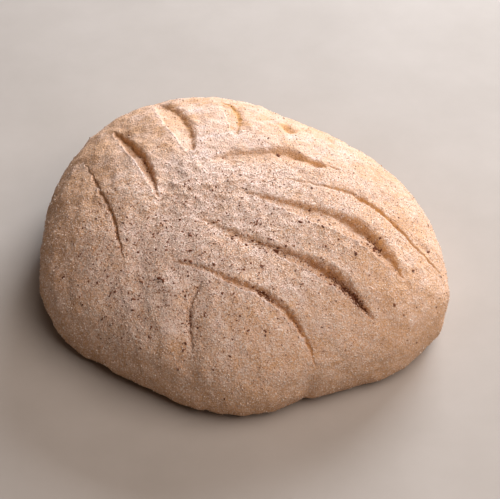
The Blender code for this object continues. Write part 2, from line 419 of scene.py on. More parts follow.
def waves(points, length, count, seed):
    """Soft random relief of about this wavelength, roughly from -1 to 1."""
    rng = np.random.default_rng(seed)
    heading = unit(rng.normal(size=(count, 3)))
    pitch = math.tau / (length * rng.uniform(*WAVE_RANGE, count))
    phase = rng.uniform(0, math.tau, count)
    total = np.zeros(len(points))
    for k in range(count):
        total += np.sin(points @ heading[k] * pitch[k] + phase[k])
    return total / math.sqrt(count)


def layered(points, layers):
    """The sum of waves given as (wavelength, count of waves, seed, height)."""
    return sum(rise * waves(points, length, count, seed) for length, count, seed, rise in layers)


def bump(gap, spread):
    """A smooth hump of height 1 that fades over a spread."""
    return np.exp(-((gap / spread) ** 2))


# %% The section of a cut
# How deep the cut is across it, in shares of its depth, with a crisp near lip or a soft one.
CRISP_DEPTH = (0.0, 0.46, 0.6, 0.7, 0.82, 0.96, 1.0, 0.9, 0.52, 0.2, 0.06, 0.0)
SOFT_ACROSS = (-1.7, -1.2, -0.8, -0.45, -0.15, 0.0, 0.12, 0.35, 0.6, 0.8, 1.0, 1.3)
SOFT_DEPTH = (0.0, 0.07, 0.28, 0.6, 0.92, 1.0, 0.93, 0.66, 0.32, 0.15, 0.05, 0.0)
# How bare it is across, and how dark with damp dough and painted shade, in mm on the near side and in shares
# of the wall.
BARE_ACROSS = (-1.2, -0.3, 0.1, 0.45, 0.7, 0.95)
BARE_SHARE = (0.0, 0.4, 1.0, 0.75, 0.25, 0.0)
DAMP_AND_SHADE_ACROSS, DAMP_AND_SHADE_SHARE = (-0.9, -0.3, 0.15, 0.65), (0.0, 1.0, 1.0, 0.0)
# How far the lip's sharp ridge and its soft swelling reach, and how far the wall's swelling does.
LIP_RIDGE, LIP_SWELL, FAR_SWELL = 0.8, 4.5, 3.0
RIDGE_FALL = 0.3  # how soon the ridge drops off inside the cut
RIDGE_HIGH, SWELL_HIGH, FAR_HIGH = 0.6, 0.6, 0.5  # each one's share of the cut's "lip"
SOFT_LIP, SHALLOW_SAG = 0.4, 0.4  # what a soft lip keeps of its swelling, and a tip of the sag
HIGHLIGHT_BACK, HIGHLIGHT_SPREAD = 0.4, 1.0  # where the lip's rim, painted paler with flour as a highlight, lies behind the lip, and how wide
SAG_SPREAD = 7.5
TIP_FADE = 12.0  # how far the sag runs on beyond a cut's tips
FULL_CREASE = 1.5  # a crease as deep as this counts fully as in the cut
# The blade's drag, as strength, wavelength and count of waves.
WAVER, FINE_WAVER = (0.3, 5.0, 12), (0.2, 1.8, 14)
UNEVEN_DEPTH, RAGGED_RIDGE, PATCHY_WALL = (0.15, 9.0, 10), (0.7, 2.4, 16), (0.35, 3.0, 16)


def press_cut(points, cut, seed):
    """A cut's relief at points, and how bare, how dark (damp dough and painted shade), how far in the cut
    and how near its painted-highlight rim they are.
    """
    kinds = (WAVER, FINE_WAVER, UNEVEN_DEPTH, RAGGED_RIDGE, PATCHY_WALL)
    waver, fine_waver, uneven, ragged, patchy = (
        strength * waves(points, length, count, seed + step)
        for step, (strength, length, count) in enumerate(kinds)
    )
    left, share, away = beside(points, cut)
    closed = closing(cut, share)
    left = left + waver * closed
    left = left + fine_waver * closed
    near, far = edges(cut, share)
    deep = graded(cut["deep"], share) * closed * (1 + uneven)
    crisp = graded(cut["crisp"], share)
    across = np.where(left < 0, left / near, left / far)
    section = crisp * np.interp(across, FOLDS, CRISP_DEPTH, 0, 0)
    section += (1 - crisp) * np.interp(across, SOFT_ACROSS, SOFT_DEPTH, 0, 0)
    from_lip = left + near
    ridge = np.where(from_lip < 0, bump(from_lip, LIP_RIDGE), bump(from_lip, RIDGE_FALL)) * crisp
    ridge *= 1 + ragged
    swell = bump(from_lip, LIP_SWELL) * (from_lip < 0) * (SOFT_LIP + (1 - SOFT_LIP) * crisp)
    far_swell = bump(left - far, FAR_SWELL)
    strength = np.sqrt(np.clip(graded(cut["deep"], share) / max(cut["deep"]), 0, 1)) * closed
    raised = RIDGE_HIGH * ridge + SWELL_HIGH * swell + FAR_HIGH * far_swell
    lips = cut["lip"] * strength * raised
    beyond = np.maximum(np.maximum(-share, share - 1), 0) * cut["length"]
    sag = cut["sag"] * bump(away, SAG_SPREAD) * np.clip(1 - beyond / TIP_FADE, 0, 1)
    bare = graded(cut["bare"], share) * closed * (1 + patchy)
    by_crease = np.where(left < 0, left, across)
    bare = np.clip(bare * np.interp(by_crease, BARE_ACROSS, BARE_SHARE, 0, 0), 0, 1)
    # The crease's darkness is partly damper dough and partly painted shade.
    crease_damp_and_shade = np.interp(by_crease, DAMP_AND_SHADE_ACROSS, DAMP_AND_SHADE_SHARE, 0, 0)
    relief = lips - section * deep - sag * (SHALLOW_SAG + (1 - SHALLOW_SAG) * strength)
    within = section * np.clip(deep / FULL_CREASE, 0, 1)
    # The lip's rim gets a painted highlight, laid on as extra flour.
    rim = bump(from_lip + HIGHLIGHT_BACK, HIGHLIGHT_SPREAD) * crisp * strength
    return relief, bare, cut["dark"] * crease_damp_and_shade * strength, within, rim


# %% Soft marks that no blade made
# Valleys and ridges are (line in plan, rise, spread); dents are (place, depth, spread).
VALLEYS = (
    ([(-29, -17), (-30, -30), (-36, -62)], -0.45, 5.0),
    ([(-12, -70), (-15, -84), (-14, -99)], -0.9, 5.0),
    ([(38, -88), (39, -97)], -0.6, 4.0),
    ([(-25, 8), (-22, -5), (-29, -17)], -0.8, 5.0),
)
RIDGES = (
    ([(-14, -13.6), (-9, -11.4), (-6, -11.6), (-3.6, -14.8)], 0.9, 1.0),
    ([(-9, -12), (0, -10.3), (10, -7.7)], 0.6, 1.4),
    ([(-26, -5), (-22, -8.5), (-18, -12.5)], 0.6, 1.1),
    ([(-19, -17), (-13, -18), (-9, -22)], 0.6, 1.0),
    ([(-30, -13), (-31, -19), (-33, -26)], 0.7, 1.8),
    ([(1, -19), (9, -23), (12, -29)], 0.5, 1.1),
    ([(-12, 2), (-6, -3), (3, -4)], 0.5, 1.2),
)
PITS = (((30.2, 41.2), 1.5, 2.2), ((31.8, 37.8), 2.2, 2.5))  # these are bare of flour
DENTS = (
    *PITS,
    ((94, -30), 0.6, 1.6),
    ((-75, -38), 0.5, 1.8),
    ((-52, -72), 0.4, 12.0),
    ((-36, -72), -0.5, 16.0),  # this one swells
)


def soft_marks(points):
    """The relief of the valleys, ridges and dents."""
    relief = np.zeros(len(points))
    for line, rise, spread in VALLEYS + RIDGES:
        _, share, away = beside(points, lay_on_skin(draw_line(line)))
        beyond = np.maximum(np.maximum(-share, share - 1), 0)
        relief += rise * bump(away, spread) * (1 - np.clip(beyond, 0, 1))
    for place, depth, spread in DENTS:
        gap = np.linalg.norm(points[:, :2] - np.array(place), axis=1)
        relief -= depth * bump(gap, spread) * (points[:, 2] > WIDEST_AT)
    return relief


# %% The uneven foot
# Dough settles unevenly on its foot. Two creases and three hollows run up the side from it,
# each with its bearing in degrees, its depth, its spread and the height where it ends.
SIDE_FOLDS = (
    (-67.5, 1.6, 2.0, 24.0), (-94.0, 1.2, 2.2, 24.0),
    (-69.0, 4.4, 15.0, 30.0), (-105.0, 3.4, 14.0, 30.0), (-37.0, 2.6, 13.0, 30.0),
)
FOOT_LUMPS = ((26.0, 20, 91, 0.8), (9.0, 20, 92, 0.35))
FOOT_LUMPS_TOP = 20.0


def settle(points):
    """The points, moved in or out in plan by the foot's unevenness."""
    bearing, out = np.arctan2(points[:, 1], points[:, 0]), np.hypot(*points[:, :2].T)
    ring = np.stack([np.cos(bearing), np.sin(bearing), np.zeros(len(points))], 1) * REACH.mean()
    low = np.clip(1 - points[:, 2] / FOOT_LUMPS_TOP, 0, 1)
    move = low * layered(ring, FOOT_LUMPS)
    for degrees, depth, spread, top in SIDE_FOLDS:
        turn = (bearing - math.radians(degrees) + math.pi) % math.tau - math.pi
        move -= depth * bump(turn * out, spread) * np.clip(1 - points[:, 2] / top, 0, 1)
    plan = points[:, :2] * (1 + move / np.maximum(out, 1))[:, None]
    return np.c_[plan, points[:, 2]]


# %% Unevenness and the floury, crumpled patch
LUMPS = ((36.0, 24, 11, 0.45), (15.0, 30, 12, 0.28), (6.0, 40, 13, 0.2), (2.6, 60, 14, 0.07))
CRUMPLED_AT = np.array((-2.0, -14.0))
CRUMPLED_SPREAD = 42.0
CREASES, CLODS = (9.0, 24, 71), (4.5, 40, 72)
CREASES_HIGH, CLODS_HIGH = 0.3, 0.2
CREASES_RUN = np.array((0.7, 1.2, 1.0))  # under 1 draws the creases out along an axis
CREASES_SHARP = 1.5
CRUMPLED_LEVEL = 0.25  # how far the crumpling is let in, so that it doesn't stand proud


def unevenness(points):
    """The handled skin's lumps, and finer crumpling around the stem."""
    creases = 1 - CREASES_SHARP * np.abs(waves(points * CREASES_RUN, *CREASES))
    clods = np.abs(waves(points, *CLODS))
    near = bump(np.linalg.norm(points[:, :2] - CRUMPLED_AT, axis=1), CRUMPLED_SPREAD)
    crumpled = CREASES_HIGH * np.clip(creases, -1, 1) + CLODS_HIGH * clods - CRUMPLED_LEVEL
    return layered(points, LUMPS) + near * crumpled


# %% Press it all into the skin
FOOT_FADE = 5.0  # over this height the relief fades out to the foot
SWEPT = 0.55  # how much of its flour a cut's floor has lost
# The floors of the back and right leaves lose more flour, and their darker floors are partly painted shade
# under the walls.
SWEPT_MORE_AND_SHADED = {"back_leaf": 0.85, "right_leaf": 0.8}
# The pits are bare, and darkened in the middle with painted shade.
PIT_BARE_SPREAD, PIT_SHADE = 1.5, 0.6
FIRST_SEED, SEEDS_EACH = 200, 10  # each cut has waves of its own

smooth_points = skin(sheet_points)
relief = soft_marks(smooth_points) + unevenness(smooth_points)
bare, dark, in_cut, swept, rim_highlights = np.zeros((5, len(sheet_points)))
for number, (name, cut) in enumerate(CUTS.items()):
    seed = FIRST_SEED + SEEDS_EACH * number
    pressed, stripped, shaded, within, rim = press_cut(smooth_points, cut, seed)
    relief += pressed
    bare, dark = np.maximum(bare, stripped), np.maximum(dark, shaded)
    in_cut, rim_highlights = np.maximum(in_cut, within), np.maximum(rim_highlights, rim)
    swept = np.maximum(swept, within * SWEPT_MORE_AND_SHADED.get(name, SWEPT))
for place, _, spread in PITS:
    gap = np.linalg.norm(smooth_points[:, :2] - np.array(place), axis=1)
    bare = np.maximum(bare, bump(gap, spread * PIT_BARE_SPREAD))
    # painted shade in the pits
    dark = np.maximum(dark, PIT_SHADE * bump(gap, spread))
relief *= np.clip(smooth_points[:, 2] / FOOT_FADE, 0, 1)
dough_points = settle(smooth_points + outward(sheet_points) * relief[:, None])
print(f"relief from {relief.min():.1f} to {relief.max():.1f} mm")

# %% [markdown]
# ## The foot
#
# Nobody sees the underside, but the loaf has one: flat, with a faint unevenness. It is a
# second, coarser sheet whose edge uses the very points of the first one's edge, which makes
# the loaf one closed skin.

# %% Close the loaf underneath
FOOT_SPAN, FOOT_GRID = 120, 3.0  # half the width that the grid of points covers, and its gaps
FOOT_CLEAR = 2.0
FOOT_HOLLOW, FOOT_WAVES = 0.25, (16.0, 12, 31)


def close_underneath(points):
    """The foot's own points and its triangles, which share the skin's edge."""
    rim = np.flatnonzero(np.hypot(*sheet_points.T) > SHEET - HONEYCOMB / 4)
    rim = rim[np.argsort(np.arctan2(points[rim, 1], points[rim, 0]))]
    rim_bearing = np.arctan2(points[rim, 1], points[rim, 0])
    span = np.arange(-FOOT_SPAN, FOOT_SPAN, FOOT_GRID)
    grid = np.stack(np.meshgrid(span, span), -1).reshape(-1, 2)
    bearing = np.arctan2(grid[:, 1], grid[:, 0])
    limit = np.interp(bearing, rim_bearing, np.hypot(*points[rim, :2].T), period=math.tau)
    grid = grid[np.hypot(*grid.T) < limit - FOOT_CLEAR]
    places = [Vector(place) for place in np.concatenate([points[rim, :2], grid])]
    made = delaunay_2d_cdt(places, [], [list(range(len(rim)))], 1, SAME_POINT)
    lift = FOOT_HOLLOW * np.abs(waves(np.c_[grid, np.zeros(len(grid))], *FOOT_WAVES))
    indices = np.concatenate([rim, len(points) + np.arange(len(grid))])
    source = np.array([group[0] for group in made[3]])
    return np.c_[grid, lift], indices[source[np.array(made[2])]][:, ::-1]


foot_points, foot_faces = close_underneath(dough_points)
all_points = np.concatenate([dough_points, foot_points])
all_faces = np.concatenate([top_faces, foot_faces])
print(len(foot_faces), "triangles underneath,", len(all_faces), "in all")

# %% Make the dough piece
def make_piece(name, points, faces, material=None):
    """A mesh object with these points, in millimetres from the crown, and triangles."""
    mesh = bpy.data.meshes.new(name)
    mesh.from_pydata(((points - CENTRE) * MM).tolist(), [], faces.tolist())
    mesh.validate()
    mesh.shade_smooth()
    if material:
        mesh.materials.append(material)
    piece = bpy.data.objects.new(name, mesh)
    bpy.context.scene.collection.objects.link(piece)
    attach(piece, "root")
    return piece


def paint(piece, name, values):
    """Gives each point of a piece a number that its material can read."""
    layer = piece.data.attributes.new(name, "FLOAT", "POINT")
    layer.data.foreach_set("value", np.asarray(values, np.float32))


dough = make_piece("dough", all_points, all_faces)
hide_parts("loaf")
print("dough has", len(dough.data.polygons), "faces")

# %% [markdown]
# ## Where the flour lies
#
# The flour is thickest in the middle of the top, where the hand sprinkled it, and thin on the
# sides and at the back. It is sandy in front and fine at the back, where the skin looks smooth
# and creamy. Both are painted as a number for each point, because they follow the loaf's
# shape and not a pattern. A few thin and thick patches of the flour are painted shade and painted light.

# %% Paint the flour and the bare walls
LEAST_FLOUR = 0.12
# Where there is more or less flour, as place, spread and how much. Three also stand in for light: less flour
# on the left side and at the right front end is painted shade, and more at the front left is painted light.
FLOUR_AND_LIGHT_DRIFTS = (
    ((2, -20), 72.0, 0.86), ((-30, -58), 26.0, 0.3), ((-74, -8), 30.0, -0.7),
    ((-48, 42), 30.0, -0.35), ((72, -48), 30.0, -0.3), ((55, 50), 50.0, -0.25),
)
LOW_SHADE_TOP = 26.0  # the side below this is darker, painted shade for the little light that reaches it, and damper dough
BLOTCHES = ((22.0, 24, 81, 0.16), (8.0, 24, 82, 0.16), (3.2, 24, 83, 0.14))
SANDY_FROM, FINE_FROM = -18.0, 36.0  # the flour turns from sandy to fine between these, along Y
RIGHT_EDGE_FROM, RIGHT_EDGE_TO = 62.0, 105.0  # and between these along X
RIM_HIGHLIGHT_FLOUR, RIM_HIGHLIGHT_FINE = 0.4, 0.45  # a lip's rim is painted paler with more, finer flour, as a highlight
THIN_AT, THICK_OVER, LEAST_LOW = 6.0, 30.0, 0.05  # the flour thins out from 36 mm down to 6 mm
FINE_BACK, FINE_EDGE = 0.85, 0.5  # how much less sandy the back and the right edge are


def flour_cover(points):
    """How thickly each point is floured, from 0 to 1, where a few drifts are painted shade and light."""
    cover = np.full(len(points), LEAST_FLOUR)
    for place, spread, strength in FLOUR_AND_LIGHT_DRIFTS:
        cover += strength * bump(np.linalg.norm(points[:, :2] - np.array(place), axis=1), spread)
    cover += layered(points, BLOTCHES)
    return np.clip(cover * np.clip((points[:, 2] - THIN_AT) / THICK_OVER, LEAST_LOW, 1), 0, 1)


def sandiness(points):
    """How coarse the flour is, from fine at the back and the right edge to 1 in front."""
    back = np.interp(points[:, 1], (SANDY_FROM, FINE_FROM), (0, 1))
    right = np.interp(points[:, 0], (RIGHT_EDGE_FROM, RIGHT_EDGE_TO), (0, 1))
    return (1 - FINE_BACK * back) * (1 - FINE_EDGE * right)


# The rims of the lips get extra flour, as a painted highlight.
flour = np.clip(flour_cover(dough_points) * (1 - swept) + RIM_HIGHLIGHT_FLOUR * rim_highlights, 0, 1)
sandy = sandiness(dough_points) * (1 - RIM_HIGHLIGHT_FINE * rim_highlights)
# The low side darkens towards the foot: painted shade, and damper dough.
low_shade_side = np.clip(1 - dough_points[:, 2] / LOW_SHADE_TOP, 0, 1)
padding = np.zeros(len(foot_points))
painting = {"flour": flour, "sandy": sandy, "bare": bare, "dark": dark, "low": low_shade_side}
for name, values in painting.items():
    paint(dough, name, np.concatenate([values, padding]))
print(f"flour covers {flour.mean():.0%} of the skin and {(bare > 0.5).mean():.1%} of the points are bare")

# %% [markdown]
# ## Shared effects
#
# Three things are needed more than once here: a sandy grain, a slow mottling, and freckles
# too small to model. Each is a node group, built once and given its own values wherever it is
# used. They read the object's own coordinates, so the pattern sticks to the loaf.

# %% Helpers for node trees
def add(tree, kind, links=(), **settings):
    """A node with its settings, and with values for its inputs or links from other nodes."""
    node = tree.nodes.new(kind)
    for name, value in settings.items():
        setattr(node, name, value)
    for socket, source in links:
        if isinstance(source, bpy.types.NodeSocket):
            tree.links.new(source, node.inputs[socket])
        else:
            node.inputs[socket].default_value = source
    return node


def new_group(name, inputs, outputs):
    """An empty node group with named number sockets, its input node and its output node."""
    group = bpy.data.node_groups.new(name, "ShaderNodeTree")
    for socket, value in inputs.items():
        made = group.interface.new_socket(socket, in_out="INPUT", socket_type="NodeSocketFloat")
        made.default_value = value
    for socket in outputs:
        group.interface.new_socket(socket, in_out="OUTPUT", socket_type="NodeSocketFloat")
    return group, group.nodes.new("NodeGroupInput"), group.nodes.new("NodeGroupOutput")


def in_millimetres(tree):
    """The object's own coordinates, in millimetres."""
    place = add(tree, "ShaderNodeTexCoord").outputs["Object"]
    scaled = add(tree, "ShaderNodeVectorMath", [(0, place), ("Scale", 1 / MM)], operation="SCALE")
    return scaled.outputs[0]


def ramp(tree, source, low, high, to_low=0.0, to_high=1.0):
    """A number mapped from one range to another and held inside it."""
    ends = [("From Min", low), ("From Max", high), ("To Min", to_low), ("To Max", to_high)]
    return add(tree, "ShaderNodeMapRange", [("Value", source), *ends]).outputs["Result"]


def combine(tree, operation, first, second):
    return add(tree, "ShaderNodeMath", [(0, first), (1, second)], operation=operation).outputs[0]


def times(tree, first, second):
    return combine(tree, "MULTIPLY", first, second)


def blend(tree, amount, first, second):
    """A colour between two others. Inputs 6 and 7 and output 2 are the node's colours."""
    node = add(tree, "ShaderNodeMix", [(0, amount), (6, first), (7, second)], data_type="RGBA")
    return node.outputs[2]


def noise(tree, place, scale, detail, roughness):
    values = [("Vector", place), ("Scale", scale), ("Detail", detail), ("Roughness", roughness)]
    return add(tree, "ShaderNodeTexNoise", values).outputs[0]


# %% Sandy grain
# Distances are from a grain's middle, in grain sizes. Each grain has random tones from 0 to 1.
DOME = (0.25, 0.7, 1.0, 0.0)  # a grain is full up to the first distance and ends at the second
BETWEEN_GRAINS = (0.42, 0.8)  # where the gap around it starts and is full
GAP_NOISE = (0.62, 0.42)  # the gaps break up where the fine noise runs from full to none
FULL_TONE = 0.85  # a grain with this tone or more is fully pale or brown
FINER, FINE_DETAIL, FINE_ROUGHNESS = 1.7, 3.0, 0.65  # the fine noise
DOME_HIGH, FINE_HIGH = 0.6, 0.8


def build_sandy_grain():
    """Coarse flour: pale and brown grains, the gaps between them darkened as painted shade, and their
    height.
    """
    sockets = {"Grain size": 0.6, "Crowding": 0.5, "Browned": 0.2}
    outputs = ("Pale", "Brown", "Gap", "Height")
    group, given, result = new_group("sandy_grain", sockets, outputs)
    place = in_millimetres(group)
    per_mm = combine(group, "DIVIDE", 1.0, given.outputs["Grain size"])
    cells = add(group, "ShaderNodeTexVoronoi", [("Vector", place), ("Scale", per_mm)])
    tones = add(group, "ShaderNodeSeparateColor", [(0, cells.outputs["Color"])]).outputs
    fine = noise(group, place, times(group, per_mm, FINER), FINE_DETAIL, FINE_ROUGHNESS)
    domed = ramp(group, cells.outputs["Distance"], *DOME)
    made = []
    for tone, share in zip(tones, ("Crowding", "Browned")):
        least = combine(group, "SUBTRACT", FULL_TONE, given.outputs[share])
        made.append(times(group, ramp(group, tone, least, FULL_TONE), domed))
    between = ramp(group, cells.outputs["Distance"], *BETWEEN_GRAINS)
    made.append(times(group, between, ramp(group, fine, *GAP_NOISE)))
    made.append(combine(group, "ADD", times(group, domed, DOME_HIGH), times(group, fine, FINE_HIGH)))
    for name, source in zip(outputs, made):
        group.links.new(source, result.inputs[name])
    return group


sandy_grain = build_sandy_grain()
print("built", sandy_grain.name)

# %% Slow mottling
PATCH_DETAIL, PATCH_ROUGHNESS = 5.0, 0.62
PATCH_CONTRAST = (0.32, 0.68)  # the noise between these runs from no patch to a full one


def build_mottling():
    """Slow, uneven patches, such as damp and dry dough."""
    group, given, result = new_group("mottling", {"Patch size": 14.0}, ("Patches",))
    scale = combine(group, "DIVIDE", 1.0, given.outputs["Patch size"])
    source = noise(group, in_millimetres(group), scale, PATCH_DETAIL, PATCH_ROUGHNESS)
    group.links.new(ramp(group, source, *PATCH_CONTRAST), result.inputs["Patches"])
    return group


mottling = build_mottling()
print("built", mottling.name)

# %% Freckles
def build_freckles():
    """Scattered specks too small to model."""
    sockets = {"Spacing": 1.4, "Share": 0.3, "Width": 0.2}
    group, given, result = new_group("freckles", sockets, ("Specks",))
    scale = combine(group, "DIVIDE", 1.0, given.outputs["Spacing"])
    cells = add(group, "ShaderNodeTexVoronoi", [("Vector", in_millimetres(group)), ("Scale", scale)])
    chance = add(group, "ShaderNodeSeparateColor", [(0, cells.outputs["Color"])]).outputs[1]
    present = combine(group, "LESS_THAN", chance, given.outputs["Share"])
    inner = times(group, given.outputs["Width"], 0.5)
    dot = ramp(group, cells.outputs["Distance"], given.outputs["Width"], inner)
    group.links.new(times(group, present, dot), result.inputs["Specks"])
    return group


freckles = build_freckles()
print("built", freckles.name)

# %% [markdown]
# ## The dough's finish
#
# Whole wheat dough is a dull tan, and flour makes it paler and less warm. Where the blade
# opened it the flour is gone, and the wetter dough shows orange-brown. The painted numbers say
# how much of each there is at a point. A flat colour would look like clay, so the grain, the
# gaps, the freckles and the patches are all mixed in.

# %% The dough's colours
TAN = (0.76, 0.485, 0.32, 1)
DAMP_TAN = (0.65, 0.39, 0.235, 1)
# Painted shade for the low side, with damper dough.
LOW_SHADE_TAN = (0.52, 0.28, 0.145, 1)
FLOUR = (0.97, 0.815, 0.765, 1)
OCHRE = (0.85, 0.53, 0.27, 1)
BARE_DOUGH = (0.84, 0.44, 0.145, 1)
# Damp dough in a crease, made darker still as painted shade. The pits are darkened with it too.
DAMP_AND_SHADE_BROWN = (0.26, 0.11, 0.045, 1)
PALE_GRAIN = (0.98, 0.88, 0.79, 1)
BROWN_GRAIN = (0.50, 0.245, 0.13, 1)
GAP_SHADE = (0.44, 0.215, 0.115, 1)
FRECKLE = (0.13, 0.055, 0.03, 1)
RUST = (0.48, 0.21, 0.11, 1)


def new_material(name):
    material = bpy.data.materials.new(name)
    material.use_nodes = True
    tree = material.node_tree
    return material, tree, tree.nodes["Principled BSDF"]


def use(tree, group, **values):
    """Places a shared effect in a material, with its own values."""
    node = add(tree, "ShaderNodeGroup", node_tree=group)
    for socket, value in values.items():
        node.inputs[socket.replace("_", " ")].default_value = value
    return node


def painted(tree, name):
    """A number painted on the piece's points."""
    return add(tree, "ShaderNodeAttribute", attribute_name=name).outputs["Fac"]


def finish(tree, shader, colour, height, bump_strength, bump_high, shine):
    """Gives a material its colour, its fine bumps and how much it shines."""
    tree.links.new(colour, shader.inputs["Base Color"])
    values = [("Height", height), ("Strength", bump_strength), ("Distance", bump_high)]
    tree.links.new(add(tree, "ShaderNodeBump", values).outputs[0], shader.inputs["Normal"])
    shader.inputs["Specular IOR Level"].default_value = shine


# %% The dough's material
PATCH_SIZES = (16.0, 4.2, 1.4, 2.4)  # of damp and dry dough, two of ochre, and brown smudges
# How much there is of each at most.
LOW_SHADE_MOST, SMUDGE_MOST, DAMP_AND_SHADE_MOST, BROWN_MOST, GAP_SHADE_MOST = 0.6, 0.18, 0.85, 0.28, 0.34
# Ramps, as a range and what it gives: more ochre where it is sandy, less under thick flour, and
# more pale grains where there is more flour than bare dough.
OCHRE_BY_SAND, OCHRE_BY_FLOUR = (0, 1, 0.2, 0.5), (0.6, 1, 1, 0.55)
PALE_BY_COVER = (-0.8, 0.6, 0.1, 0.85)
FLOURED_ROUGHNESS, BARE_ROUGHNESS = 0.95, 0.62
DUST_HIGH, GRAIN_BUMP, GRAIN_HIGH, DOUGH_SHINE = 0.55, 0.8, 0.4 * MM, 0.25


def build_floured_dough():
    """Tan dough, with colour after colour laid over it, each by its own mask."""
    material, tree, shader = new_material("floured_dough")
    here = {name: painted(tree, name) for name in painting}
    coarse = use(tree, sandy_grain, Grain_size=1.0, Crowding=0.5, Browned=0.3)
    dust = use(tree, sandy_grain, Grain_size=0.5, Crowding=0.5, Browned=0.25)
    dark = use(tree, freckles, Spacing=1.6, Share=0.22, Width=0.2).outputs["Specks"]
    rust = use(tree, freckles, Spacing=1.5, Share=0.28, Width=0.28).outputs["Specks"]
    damp, warm, tint, smudged = (
        use(tree, mottling, Patch_size=size).outputs["Patches"] for size in PATCH_SIZES
    )
    browned, gaps = (times(tree, here["sandy"], most) for most in (BROWN_MOST, GAP_SHADE_MOST))
    less_ochre = ramp(tree, here["flour"], *OCHRE_BY_FLOUR)
    ochre = times(tree, ramp(tree, here["sandy"], *OCHRE_BY_SAND), less_ochre)
    cover = combine(tree, "SUBTRACT", here["flour"], here["bare"])
    grainy = times(tree, ramp(tree, cover, *PALE_BY_COVER), here["sandy"])
    smudges = times(tree, smudged, here["sandy"])
    layers = [
        (damp, TAN), (times(tree, here["low"], LOW_SHADE_MOST), LOW_SHADE_TAN), (here["flour"], FLOUR),
        (times(tree, warm, ochre), OCHRE), (times(tree, tint, ochre), OCHRE),
        (times(tree, smudges, SMUDGE_MOST), BROWN_GRAIN),
        (here["bare"], BARE_DOUGH), (times(tree, here["dark"], DAMP_AND_SHADE_MOST), DAMP_AND_SHADE_BROWN),
    ]
    kinds = (("Pale", grainy, PALE_GRAIN), ("Brown", browned, BROWN_GRAIN), ("Gap", gaps, GAP_SHADE))
    for grain in (coarse, dust):
        layers += [(times(tree, grain.outputs[part], most), tone) for part, most, tone in kinds]
    layers += [(times(tree, rust, browned), RUST), (times(tree, dark, gaps), FRECKLE)]
    colour = DAMP_TAN
    for amount, tone in layers:
        colour = blend(tree, amount, colour, tone)
    height = combine(tree, "ADD", coarse.outputs["Height"], times(tree, dust.outputs["Height"], DUST_HIGH))
    finish(tree, shader, colour, height, GRAIN_BUMP, GRAIN_HIGH, DOUGH_SHINE)
    roughness = ramp(tree, here["bare"], 0, 1, FLOURED_ROUGHNESS, BARE_ROUGHNESS)
    tree.links.new(roughness, shader.inputs["Roughness"])
    return material


dough.data.materials.append(build_floured_dough())
print("dough wears", dough.data.materials[0].name)

# %% [markdown]
# ## Flour grains and bran
#
# Coarse flour grains catch the light one by one, and dark bran lies about in flecks. They
# are real little meshes at their true size, because a picture of them would vanish from the
# side and from the exported model. All of one kind are joined into one piece.
#
# Bran isn't spread evenly. It gathers on the stem and in the cuts, where the hand and the
# blade swept it, so a few drifts steer where it falls.

# %% The faces that loose things fall on
NONE_BELOW, NONE_FADE = 2, 4  # loose things thin out from a height of 6 mm to none at 2 mm
# How much stays on a face, by how far up it faces. On a steep one only the least does.
HOLD_RISE, HOLD_FROM, HOLD_LEAST = 1.6, 0.1, 0.02

corners = dough_points[top_faces]
crosses = np.cross(corners[:, 1] - corners[:, 0], corners[:, 2] - corners[:, 0])
face_areas = np.linalg.norm(crosses, axis=1) / 2
face_out = crosses / np.maximum(2 * face_areas[:, None], TINY)
face_middles = corners.mean(1)
face_in_cut, face_flour, face_sandy, face_bare = (
    values[top_faces].mean(1) for values in (in_cut, flour, sandy, bare)
)
off_foot = np.clip((face_middles[:, 2] - NONE_BELOW) / NONE_FADE, 0, 1)
holds = np.clip(face_out[:, 2] * HOLD_RISE - HOLD_FROM, HOLD_LEAST, 1) * off_foot
print("the skin's area is", round(face_areas.sum() / 100), "square centimetres")

# %% Strewing
def strew(count, liking, rng):
    """Random places on the skin, thick where liking is high, and the directions out there."""
    weight = face_areas * liking
    picks = rng.choice(len(top_faces), count, p=weight / weight.sum())
    a, b = rng.uniform(size=(2, count, 1))
    flip = a + b > 1
    a, b = np.where(flip, 1 - a, a), np.where(flip, 1 - b, b)
    first, second, third = corners[picks].transpose(1, 0, 2)
    return first + a * (second - first) + b * (third - first), face_out[picks]


def lie_on(out, tilt, rng):
    """Random frames for things that lie on the skin, tilted a little from it."""
    up = unit(out + tilt * rng.normal(size=out.shape))
    side = unit(np.cross(up, rng.normal(size=out.shape)))
    return np.stack([side, np.cross(up, side), up], 2)


def copy_shape(shape, places, frames, sizes, wobble, rng):
    """Copies of a small shape, each with its own size and uneven corners, as one mesh's data."""
    points, faces = shape
    local = points * (1 + wobble * rng.normal(size=(len(places), len(points), 1))) * sizes[:, None, :]
    placed = places[:, None] + np.einsum("nij,nkj->nki", frames, local)
    steps = np.arange(len(places))[:, None, None] * len(points)
    return placed.reshape(-1, 3), (faces + steps).reshape(-1, 3)


def drifts(*heaps):
    """How much loose bran is liked at each face, from heaps of (x, y, spread, strength)."""
    liking = np.zeros(len(face_middles))
    for x, y, spread, strength in heaps:
        liking += strength * bump(np.linalg.norm(face_middles[:, :2] - (x, y), axis=1), spread)
    return liking


print("there are", len(top_faces), "faces to strew on")

# %% The shapes of a grain and a flake
def nugget():
    """An eight-sided lump, one unit across, with its faces."""
    points = np.concatenate([np.eye(3), -np.eye(3)]) / 2
    faces = [(0, 1, 2), (1, 3, 2), (3, 4, 2), (4, 0, 2), (1, 0, 5), (3, 1, 5), (4, 3, 5), (0, 4, 5)]
    return points, np.array(faces)


